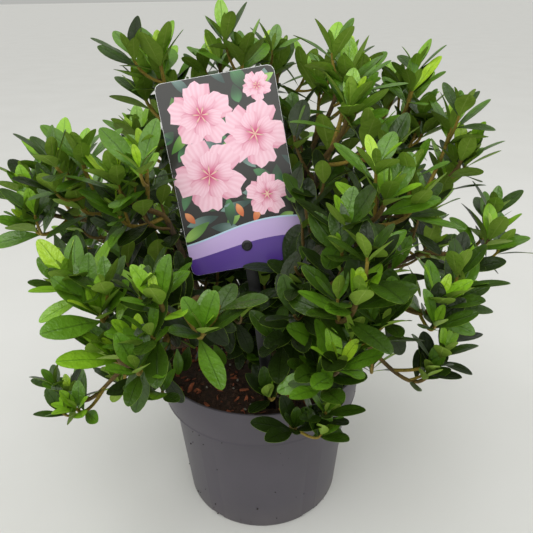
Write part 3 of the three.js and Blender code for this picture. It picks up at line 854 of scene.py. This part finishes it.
for ink, name, root, far, meet in PRINTS:
    material, tree, shader = new_finish(name, 0.32, 1.5)
    feed(shader, {"Coat Weight": 0.6, "Coat Roughness": 0.12})
    mark = add_node(tree, "UVMap", uv_map="print")
    split = add_node(tree, "SeparateXYZ", {"Vector": mark})
    share = add_node(tree, "MapRange", {
        "Value": split.outputs["Y"], "From Min": meet - 0.34, "From Max": meet + 0.4,
    }, interpolation_type="SMOOTHSTEP")
    tone = add_node(tree, "Mix", {0: share, 6: linear(root), 7: linear(far)}, data_type="RGBA")
    veins = add_node(tree, "TexWave", {
        "Vector": mark, "Scale": 2.2, "Distortion": 1.5, "Detail": 2,
    }, bands_direction="X")
    side = add_node(tree, "MapRange", {
        "Value": split.outputs["X"], "From Max": 0.35, "To Min": 0.5, "To Max": 0.0,
    })
    faint = add_node(tree, "Math", {0: veins.outputs["Fac"], 1: 0.16, 2: side}, operation="MULTIPLY_ADD")
    shaded = add_node(tree, "Mix", {0: faint, 6: tone, 7: linear(root)}, data_type="RGBA")
    feed(shader, {"Base Color": shaded})
    ink.piece(material)

# --- Card stake and rivet ---
# A flat black polypropylene stake stands in the compost, bends back and lies flat behind the card.
# A round push rivet moulded on it snaps through the card's hole.

STAKE_WIDTH = 9
STAKE_THICKNESS = 1.8
STAKE_FOOT = Vector((12, -66, 96))
STAKE_BEND = 30
STAKE_BELOW_CARD = 8
STAKE_ABOVE_RIVET = 14
STAKE_STEPS = 30
RIVET_HEAD = 1.4

behind = -CARD_THICKNESS / 2 - 0.3 - STAKE_THICKNESS / 2
stake_top = card_spot(RIVET_OFFSET[0], RIVET_OFFSET[1] + STAKE_ABOVE_RIVET, behind)
stake_below = card_spot(RIVET_OFFSET[0], -CARD_HEIGHT / 2 - STAKE_BELOW_CARD, behind)
stake_line = Bow(STAKE_FOOT, stake_below - card_up * STAKE_BEND, stake_below)
BENT_SHARE = 0.78
STAKE_GRAIN = 1.0


def stake_frame(share):
    """The stake's middle, and its ways across and through, at a share of its length."""
    if share < BENT_SHARE:
        centre = stake_line.point(share / BENT_SHARE)
        along = stake_line.tangent(share / BENT_SHARE)
    else:
        centre = stake_below.lerp(stake_top, (share - BENT_SHARE) / (1 - BENT_SHARE))
        along = card_up
    side = (card_across - along * card_across.dot(along)).normalized()
    return centre, side, along.cross(side)


deselect()
strip_section = (STAKE_WIDTH * MM, STAKE_THICKNESS * MM, 1)
bpy.ops.mesh.primitive_cube_add(size=1, scale=strip_section, location=(0, 0, 0.5))
stake = bpy.context.object
stake.name = "stake_strip"
bpy.ops.object.transform_apply(location=True, scale=True)
bpy.ops.object.mode_set(mode="EDIT")
for i in range(1, STAKE_STEPS):
    bpy.ops.mesh.select_all(action="SELECT")
    bpy.ops.mesh.bisect(plane_co=(0, 0, i / STAKE_STEPS), plane_no=(0, 0, 1))
bpy.ops.object.mode_set(mode="OBJECT")
for vertex in stake.data.vertices:
    share = vertex.co.z
    centre, side, thick = stake_frame(share)
    narrow = min(1, 0.35 + 5 * share)
    vertex.co = centre * MM + side * vertex.co.x * narrow + thick * vertex.co.y
apply_modifier(stake, "BEVEL", width=0.4 * MM, segments=2, limit_method="ANGLE")
smooth(stake, 35)

rivet = turned_up("rivet_head", 32, [
    (RIVET_RADIUS / 2, -CARD_THICKNESS / 2 - 1.0),
    (RIVET_RADIUS / 2, CARD_THICKNESS / 2 + 0.25),
    (RIVET_RADIUS * 0.95, CARD_THICKNESS / 2 + 0.3),
    (RIVET_RADIUS, CARD_THICKNESS / 2 + 0.6),
    (RIVET_RADIUS * 0.93, CARD_THICKNESS / 2 + 0.3 + RIVET_HEAD * 0.75),
    (RIVET_RADIUS * 0.72, CARD_THICKNESS / 2 + 0.3 + RIVET_HEAD),
    (RIVET_RADIUS * 0.5, CARD_THICKNESS / 2 + 0.2 + RIVET_HEAD),
    (RIVET_RADIUS * 0.42, CARD_THICKNESS / 2 + 0.3 + RIVET_HEAD * 0.4),
])
set_down(rivet, card_place @ Matrix.Translation(Vector((*RIVET_OFFSET, 0)) * MM))
smooth(rivet, 40)
# Black polypropylene: an even satin with the faint grain of its mould.
material, tree, shader = new_finish("black_polypropylene", 0.38, 1.49)
place = add_node(tree, "TexCoord").outputs["Object"]
mottled(shader, place, 1 / (STAKE_GRAIN * MM), "#080809", "#111113")
for piece, nodes in ((stake, ["card_stake"]), (rivet, [])):
    hand_over(piece, material, "stake", *nodes)

# --- Twigs ---
# Each bough ends in a leader with side shoots, and the leader and each shoot carry one finer spur.
# Short spurs also stand along the boughs inside the crown. Young wood is olive to tan and hairy.

LEADER = (2.0, 1.6)
SHOOT = (1.6, 1.3)
SPUR = (1.25, 0.95)
LEADER_BEND = 0.3
TIP_BEND = 0.5
SHOOT_LENGTH = 36
SHOOT_VARIETY = 0.3
SHOOT_SPREAD = 60
SHOOT_ASIDE = 0.85
SHOOT_RISE = 0.2
SHOOT_LIFT = 0.3
LIGHT_PULL = 0.72
NO_PULL_HEIGHT = 20
FULL_PULL_HEIGHT = 150
FIRST_SHOOT = 0.12
LAST_SHOOT = 0.45
GOLDEN_ANGLE = 137.5
CARD_OVERLAP = 9
PICTURE_BACK = -3
SPUR_LENGTH = 22
INNER_SPURS = (0.12, 0.22, 0.32, 0.42, 0.52, 0.62, 0.72, 0.82, 0.92)
INNER_SPUR_LENGTH = 30
LOW_BOUGHS = ("low_left", "low_right", "low_front")
BARE_SHARE = 0.35
SHEET_BACK = -2.8
SHEET_FRONT = 1.2
HAIR_PATCH = 1.5


def seeded(seed):
    """The same seed always gives the same run of numbers from 0 to 1."""
    state = seed

    def following():
        nonlocal state
        state = (state * 1664525 + 1013904223) % 4294967296
        return state / 4294967296
    return following


def tilted(direction, spread, angle):
    """Turns a direction away from itself by spread degrees, towards the side that angle picks."""
    side = direction.cross(Vector((1, 0, 0)) if abs(direction.z) > 0.9 else Vector((0, 0, 1)))
    side = Matrix.Rotation(math.radians(angle), 3, direction) @ side.normalized()
    return Matrix.Rotation(math.radians(spread), 3, side) @ direction


def within_one(value):
    """The value, held between 0 and 1."""
    return max(0, min(1, value))


def sunward(direction, high):
    """A twig's direction after it has turned up to the light, by the share that suits its height."""
    share = (high - NO_PULL_HEIGHT) / (FULL_PULL_HEIGHT - NO_PULL_HEIGHT)
    return direction.lerp(Vector((0, 0, 1)), LIGHT_PULL * within_one(share)).normalized()


def side_twig(stalk, share, spread, angle, length):
    """A twig that leaves its stalk sideways at a share of it and turns up, and its tip's direction."""
    along = stalk.tangent(share)
    aside = tilted(along, spread, angle)
    foot = stalk.point(share)
    lift = Vector((0, 0, length * SHOOT_LIFT))
    end = foot + aside * length * SHOOT_ASIDE + along * length * SHOOT_RISE + lift
    way = sunward((end - foot).normalized(), end.z)
    return Bow(foot, end - way * length * TIP_BEND, end), way


def free(twig):
    """Whether a twig keeps clear of the card, the room before it and the pot."""
    path = twig.path(6)
    return not (before_card(path[-1]) or through_card(path) or in_pot(path))


def card_local(spot):
    """How far a spot lies across, up and in front of the card's middle."""
    local = spot - CARD_CENTRE
    return local.dot(card_across), local.dot(card_up), local.dot(card_front)


def before_card(spot):
    """Whether a spot lies in the space before the card's picture, which the foliage leaves open."""
    across, up, front = card_local(spot)
    inner_x, inner_y = CARD_WIDTH / 2 - CARD_OVERLAP, CARD_HEIGHT / 2 - CARD_OVERLAP
    return front > PICTURE_BACK and abs(across) < inner_x and abs(up) < inner_y


def through_card(spots):
    """Whether a line of spots passes through the card's sheet or its stake's slot."""
    steps = [card_local(spot) for spot in spots]
    for (x0, y0, z0), (x1, y1, z1) in zip(steps, steps[1:]):
        if any((z0 > sheet) != (z1 > sheet) for sheet in (SHEET_BACK, SHEET_FRONT)):
            if min(abs(x0), abs(x1)) < CARD_WIDTH / 2 + 1 and min(abs(y0), abs(y1)) < CARD_HEIGHT / 2 + 1:
                return True
    return False


def in_pot(spots):
    """Whether any of the spots lies in the pot's wall or in the compost."""
    for spot in spots:
        out = math.hypot(spot.x, spot.y)
        wall = RIM_RADIUS + 1.5 if spot.z > BAND_FOOT - 2 else BODY_TOP_RADIUS + 2
        if spot.z < POT_HEIGHT + 1 and out < wall and (out > SOIL_EDGE - 2 or spot.z < SOIL_LEVEL + 1):
            return True
    return False


tips = []
old_twigs, young_twigs = Limbs(), Limbs()


def add_tip(twig, heading, vigour_and_light, kind):
    tips.append({"twig": twig, "heading": heading, "vigour_and_light": vigour_and_light, "kind": kind})


for index, (name, bearing, out, high, shoots, carrier, share) in enumerate(CROWN):
    random = seeded(101 + 37 * index)
    finer = seeded(9001 + 53 * index)
    bough = boughs[name]
    tip = spot_at(bearing, out, high)
    arrival = bough.tangent(1)
    start = bough.point(1) + arrival * 0.3
    way = sunward((tip - HEART).normalized(), high)
    away = start + arrival * LEADER_LENGTH * LEADER_BEND
    leader = Bow(start - arrival * 1.5, away, tip - way * LEADER_LENGTH * TIP_BEND, tip)
    old_twigs.grow(leader, [(0, 2.2), (0.1, LEADER[0]), (1, LEADER[1])], 8, 18, 0.16, 2.0)
    add_tip(leader, way, 1.0, "low" if name in LOW_BOUGHS else "leader")
    turn = 360 * random()
    stalks = [leader]
    for i in range(shoots):
        share = FIRST_SHOOT + (LAST_SHOOT - FIRST_SHOOT) * i / (shoots - 1)
        length = SHOOT_LENGTH * (1 + SHOOT_VARIETY * (random() - 0.5))
        twig, way = side_twig(leader, share, SHOOT_SPREAD, turn + i * GOLDEN_ANGLE, length)
        if free(twig):
            young_twigs.grow(twig, [(0, SHOOT[0]), (1, SHOOT[1])], 7, 14, 0.14, 1.6)
            add_tip(twig, way, 0.8, "low" if name in LOW_BOUGHS else "shoot")
            stalks.append(twig)
    for stalk in stalks:
        length = SPUR_LENGTH * (0.8 + 0.5 * finer())
        twig, way = side_twig(stalk, 0.55 + 0.2 * finer(), 50, 360 * finer(), length)
        if free(twig):
            young_twigs.grow(twig, [(0, SPUR[0]), (1, SPUR[1])], 6, 8, 0.12, 1.4)
            add_tip(twig, way, 0.35 + 0.3 * finer(), "spur")
    spin = 360 * finer()
    fuller = 0 < bearing < 150 or out < 80
    for k, share in enumerate(INNER_SPURS if fuller else INNER_SPURS[::2]):
        if name in LOW_BOUGHS and share > BARE_SHARE:
            break
        length = INNER_SPUR_LENGTH * (0.7 + 0.6 * finer())
        twig, way = side_twig(bough, share, 55, spin + k * GOLDEN_ANGLE, length)
        if free(twig):
            old_twigs.grow(twig, [(0, 1.3), (1, 0.95)], 6, 10, 0.14, 1.6)
            # Inner tips start weakest, so their leaves take the darkest tones: painted shade inside the
            # crown.
            add_tip(twig, way, 0.12 * finer(), "inner")
    if name in LOW_BOUGHS:
        add_tip(bough, bough.tangent(1), 0.3, "hanging")

foliage_nodes = ["foliage_" + row[0] for row in CROWN]
# Young azalea wood: a felt of tan hairs over olive bark, so it is matt with a soft edge light.
WOODS = [(old_twigs.piece("leader_twigs"), "ripened_wood", "#423316", "#735d2a", 0.08),
         (young_twigs.piece("young_twigs"), "hairy_young_wood", "#665616", "#9a8430", 0.15)]
for piece, name, dark, light, felt in WOODS:
    material, tree, shader = new_finish(name, 0.75, 1.45)
    feed(shader, {"Sheen Weight": felt, "Sheen Tint": linear("#d9c08a")})
    place = add_node(tree, "TexCoord").outputs["Object"]
    hairs = add_node(tree, "TexNoise", {"Vector": place, "Scale": 1 / (HAIR_PATCH * MM), "Detail": 4})
    ageing = add_node(tree, "TexNoise", {"Vector": place, "Scale": 45, "Detail": 2})
    both = add_node(tree, "Math", {0: hairs, 1: ageing}, operation="ADD")
    spread = add_node(tree, "MapRange", {"Value": both, "From Min": 0.75, "From Max": 1.25})
    tone = add_node(tree, "Mix", {0: spread, 6: linear(dark), 7: linear(light)}, data_type="RGBA")
    bump = add_node(tree, "Bump", {"Height": hairs, "Strength": 0.6, "Distance": 0.3 * MM})
    feed(shader, {"Base Color": tone, "Normal": bump})
    hand_over(piece, material, "leaf", *foliage_nodes)

# --- Leaves ---
# Every twig ends in a whorl that opens like a fan: the oldest leaves stand out, the youngest stand up.
# A leaf is leathery and half evergreen, broadest past its middle, with a sunk midrib and puckered halves.
# Blades are thin sheets sorted by a tone for the leaf's age that also carries painted shade. Their
# undersides, paler and lightened with painted light shining through, are one more piece.

LEAF_RINGS = [
    # pitch from the twig in degrees, length in mm, foot behind the tip in mm, age
    (92, 34, 24.0, 3),
    (62, 38, 13.0, 2),
    (42, 36, 5.0, 2),
    (26, 31, 2.0, 1),
    (12, 22, 0.5, 0),
]
WHORLS = {
    # leaves in each ring, and their size
    "leader": ((1, 2, 3, 3, 3), 1.0),
    "shoot": ((1, 2, 3, 3, 2), 0.94),
    "spur": ((0, 1, 3, 2, 1), 0.8),
    "inner": ((2, 2, 2, 1, 0), 0.9),
    "low": ((0, 2, 3, 3, 2), 0.82),
}
HANGING_LEAVES = 7
HANGING_LENGTH = 29
LEAF_WIDTH = 0.4
AGES = 5
ROWS = [0.0, 0.1, 0.21, 0.34, 0.47, 0.6, 0.73, 0.85, 0.94, 0.98, 1.0]
TOP_COLUMNS = [-1.0, -0.52, 0.0, 0.52, 1.0]
BACK_COLUMNS = [-1.0, 0.0, 1.0]
PETIOLE = 0.05
EDGE = 0.1
LEAF_POINT = 0.03
BLADE_LIFT = 0.12
UNDERSIDE_LIFT = -0.1
# How much light a twig gets, by its distance from the heart, its height and the shade on the right. It picks
# the tones of the twig's leaves: painted shade on leaves inside, low down and on the right, and painted
# light on those on top.
LIGHT_REACH = 190
DIM_HEIGHT = 170
DIM_RISE = 230
SHADE = 0.3
SHADE_WIDTH = 200
SHADE_TOP = 400
SHADE_FADE = 60
LIGHT_SHARE = 0.65
# A twig with little strength and light gets darker, aged tones for its leaves, and a strong, well-lit one
# may get younger, lighter ones. This is partly real ageing and partly painted shade. Chance moves a few
# either way.
WEAK = 0.42
WEAKEST = 0.16
STRONG = 0.7
STRONG_CHANCE = 0.5
OLDER_CHANCE = 0.18
YOUNGER_CHANCE = 0.12

leaves = []
draw = np.random.RandomState(2024)
for tip in tips:
    twig, vigour_and_light = tip["twig"], tip["vigour_and_light"]
    if tip["kind"] == "hanging":
        for i in range(HANGING_LEAVES):
            share = BARE_SHARE + (0.98 - BARE_SHARE) * (i + 0.4 * draw.rand()) / HANGING_LEAVES
            way = Vector((draw.uniform(-0.35, 0.35), draw.uniform(-0.35, 0.35), -1)).normalized()
            up = Vector((draw.uniform(-1, 1), draw.uniform(-1, -0.2), 0.2))
            up = (up - way * up.dot(way)).normalized()
            leaves.append((
                twig.point(share) + way * 1.5, way, up, HANGING_LENGTH * draw.uniform(0.85, 1.15),
                int(draw.choice([2, 3, 3]))))
        continue
    whorl, size = WHORLS[tip["kind"]]
    path = twig.path(6)
    end = path[-1]
    twig_length = sum((b - a).length for a, b in zip(path, path[1:]))
    spin = 360 * draw.rand()
    lit = 0.5 * within_one((end - HEART).length / LIGHT_REACH)
    lit += 0.5 * within_one((end.z - DIM_HEIGHT) / DIM_RISE)
    lit -= SHADE * within_one(0.3 + end.x / SHADE_WIDTH) * within_one((SHADE_TOP - end.z) / SHADE_FADE)
    vigour_and_light = LIGHT_SHARE * vigour_and_light * lit + (1 - LIGHT_SHARE) * vigour_and_light * draw.rand()
    number = 0
    for count, (pitch, length, behind_tip, age) in zip(whorl, LEAF_RINGS):
        for i in range(count):
            share = 1 - min(0.8, behind_tip * draw.uniform(0.8, 1.25) / twig_length)
            stalk = twig.tangent(share).lerp(tip["heading"], share).normalized()
            lean = pitch + draw.uniform(-12, 12)
            way = tilted(stalk, lean, spin + number * GOLDEN_ANGLE + draw.uniform(-9, 9))
            number += 1
            way.z -= 0.25 * (age == 3) - 0.05
            way.normalize()
            real = length * size * draw.uniform(0.8, 1.18)
            root = twig.point(share)
            up = stalk * 0.8 + Vector((0, 0, 0.25))
            up = (up - way * up.dot(way)).normalized()
            path = [root + way * real * s for s in (0.12, 0.4, 0.7, 1.0)]
            if before_card(path[-1]) or before_card(path[2]) or through_card(path) or in_pot(path):
                continue
            # Dim twigs get darker tones as painted shade, and well-lit ones get lighter tones as painted
            # light.
            younger = vigour_and_light > STRONG and draw.rand() < STRONG_CHANCE
            age_and_shade = age + (vigour_and_light < WEAK) + (vigour_and_light < WEAKEST) - younger
            age_and_shade = age_and_shade + (draw.rand() < OLDER_CHANCE) - (draw.rand() < YOUNGER_CHANCE)
            age_and_shade = int(max(0, min(AGES - 1, age_and_shade)))
            leaves.append((root, way, up, real, age_and_shade))

roots, ways, ups = (np.array([leaf[k][:] for leaf in leaves]) for k in range(3))
lengths, ages_and_shade = (np.array([leaf[k] for leaf in leaves]) for k in (3, 4))
sides = np.cross(ups, ways)
count = len(leaves)
widths = lengths * LEAF_WIDTH * draw.uniform(0.86, 1.14, count) * np.where(ages_and_shade == 0, 0.86, 1.0)
droops = draw.uniform(0.0, 0.2, count)
cups = draw.uniform(0.1, 0.3, count)
twists = draw.uniform(-0.35, 0.35, count)
phases = draw.uniform(0, 2 * np.pi, count)


def blades(chosen, columns, depth):
    """The corners of the chosen leaves, and one leaf's faces and marks, for these columns."""
    def each(values):
        return values[chosen][:, None, None]

    along = np.array(ROWS)
    outline = np.maximum(np.sin(np.pi * along ** 1.357).clip(0) ** (0.95 - 0.4 * along), PETIOLE)
    outline[-1] = LEAF_POINT
    length = each(lengths)
    half = each(widths) / 2 * outline[None, :, None] + (EDGE if depth < 0 else 0)
    t = along[None, :, None]
    u = np.array(columns)[None, None, :]
    fold = np.abs(u)
    pucker = np.sin(2 * np.pi * (5.2 * t - 0.9 * fold) + each(phases))
    x = t * length * (1 - 0.25 * each(droops) * t)
    y = u * half
    lift = each(cups) * half * (1.35 * fold - 0.75 * fold ** 2)
    lift = lift + 0.32 * pucker * (fold > 0.3) * (fold < 0.9) * np.sqrt(half / 7)
    lift = lift - each(droops) * length * t ** 2
    turn = each(twists) * t
    y, lift = y * np.cos(turn) - lift * np.sin(turn) * 0.3, lift + y * np.sin(turn)
    lift = lift + depth * np.sqrt(outline)[None, :, None] * np.ones_like(u)
    corner = (each(roots) + each(ways) * (x + 0 * u)[..., None]
              + each(sides) * y[..., None] + each(ups) * lift[..., None])
    width = len(columns)
    faces, marks = [], []
    for j in range(len(ROWS) - 1):
        for i in range(width - 1):
            a = j * width + i
            quad = (a, a + 1, a + width + 1, a + width)
            faces.append(quad if depth > 0 else quad[::-1])
            marks.extend(((q % width) / (width - 1), ROWS[q // width]) for q in faces[-1])
    return corner.reshape(len(chosen), -1, 3), np.array(faces), np.array(marks)


def leaf_sheet(name, chosen, columns, depth):
    """One piece of leaf sheets, with a map of how far across and along its leaf each spot lies."""
    corners, faces, marks = blades(chosen, columns, depth)
    made = joined(name, corners, faces)
    layer = made.data.uv_layers.new(name="leaf")
    layer.data.foreach_set("uv", np.tile(marks, (len(chosen), 1)).ravel())
    made.data.polygons.foreach_set("use_smooth", [True] * len(made.data.polygons))
    return made


# Azalea leaf: waxy over fine hairs, so its shine is soft and a little grey on old leaves.
# Side veins stand 4 to 6 mm apart, six or so to a side, and the blade between them is puckered.
# The green is faintly mottled, with one pair of tones for each age and one for the undersides. The darker
# ages also serve as painted shade, on leaves inside, low down and on the right of the crown.
PUCKER = 3.2
VEIN_WAVES = 40
VEIN_SLANT = 12
LEAF_TONES = [
    # finish, face, its mottling, vein (on upper faces darkened as painted shade in the sunk veins), gloss as
    # roughness, how strong the shine is
    ("young_leaf", "#95bb20", "#a9cd33", "#729813", 0.36, 0.6),
    ("fresh_leaf", "#76a519", "#8ab92b", "#548011", 0.36, 0.6),
    ("grown_leaf", "#4b7211", "#59841d", "#31510b", 0.36, 0.55),
    # The ripe and old tones are darkened to serve as painted shade.
    ("ripe_leaf", "#2d450b", "#365310", "#1c2f07", 0.36, 0.4),
    ("old_leaf", "#192707", "#20310a", "#101a04", 0.38, 0.25),
    # The underside tone is the paler underside, lifted with painted light as if light shone through the
    # leaf.
    ("leaf_underside", "#7a9a30", "#88a83c", "#a2bc58", 0.6, 0.25),
]
for age, (name, face, mottled_face, vein_and_groove_shade, gloss, shine) in enumerate(LEAF_TONES):
    material, tree, shader = new_finish(name, gloss, 1.48)
    feed(shader, {"Specular IOR Level": shine})
    place = add_node(tree, "TexCoord").outputs["Object"]
    split = add_node(tree, "SeparateXYZ", {"Vector": add_node(tree, "UVMap", uv_map="leaf")})
    middle = add_node(tree, "Math", {0: split.outputs["X"], 1: 0.5}, operation="SUBTRACT")
    off = add_node(tree, "Math", {0: middle}, operation="ABSOLUTE")
    midrib = add_node(tree, "MapRange", {
        "Value": off, "From Min": 0.012, "From Max": 0.05, "To Min": 1.0, "To Max": 0.0,
    })
    slant = add_node(tree, "Math", {0: off, 1: -VEIN_SLANT}, operation="MULTIPLY")
    climb = add_node(tree, "Math", {
        0: split.outputs["Y"], 1: VEIN_WAVES, 2: slant,
    }, operation="MULTIPLY_ADD")
    ripple = add_node(tree, "Math", {0: climb}, operation="SINE")
    side_veins = add_node(tree, "MapRange", {
        "Value": ripple, "From Min": 0.6, "From Max": 1.0, "To Max": 0.22,
    })
    veins = add_node(tree, "Math", {0: midrib, 1: side_veins}, operation="MAXIMUM")
    tone, _ = mottled(shader, place, 60, face, mottled_face, (0.35, 0.65), detail=3)
    # On upper faces the vein tone is painted shade in the sunk midrib and side veins. On the undersides it
    # is the raised veins' paler tone.
    soft = add_node(tree, "Math", {0: veins, 1: 0.6}, operation="MULTIPLY")
    veined_and_groove_shaded = add_node(tree, "Mix", {0: soft, 6: tone, 7: linear(vein_and_groove_shade)}, data_type="RGBA")
    puckers = add_node(tree, "TexNoise", {"Vector": place, "Scale": 1 / (PUCKER * MM), "Detail": 2})
    relief = add_node(tree, "Bump", {"Height": puckers, "Strength": 0.8, "Distance": 0.9 * MM})
    bump = add_node(tree, "Bump", {
        "Height": veins, "Strength": 0.5, "Distance": 0.4 * MM, "Normal": relief,
    }, invert=name != "leaf_underside")
    feed(shader, {"Base Color": veined_and_groove_shaded, "Normal": bump})
    if name == "leaf_underside":
        sheet = leaf_sheet("leaf_undersides", np.arange(count), BACK_COLUMNS, UNDERSIDE_LIFT)
    else:
        chosen = np.flatnonzero(ages_and_shade == age)
        sheet = leaf_sheet(name.replace("leaf", "leaves"), chosen, TOP_COLUMNS, BLADE_LIFT)
    hand_over(sheet, material, "leaf", *foliage_nodes)

# --- Finish ---

low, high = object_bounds()
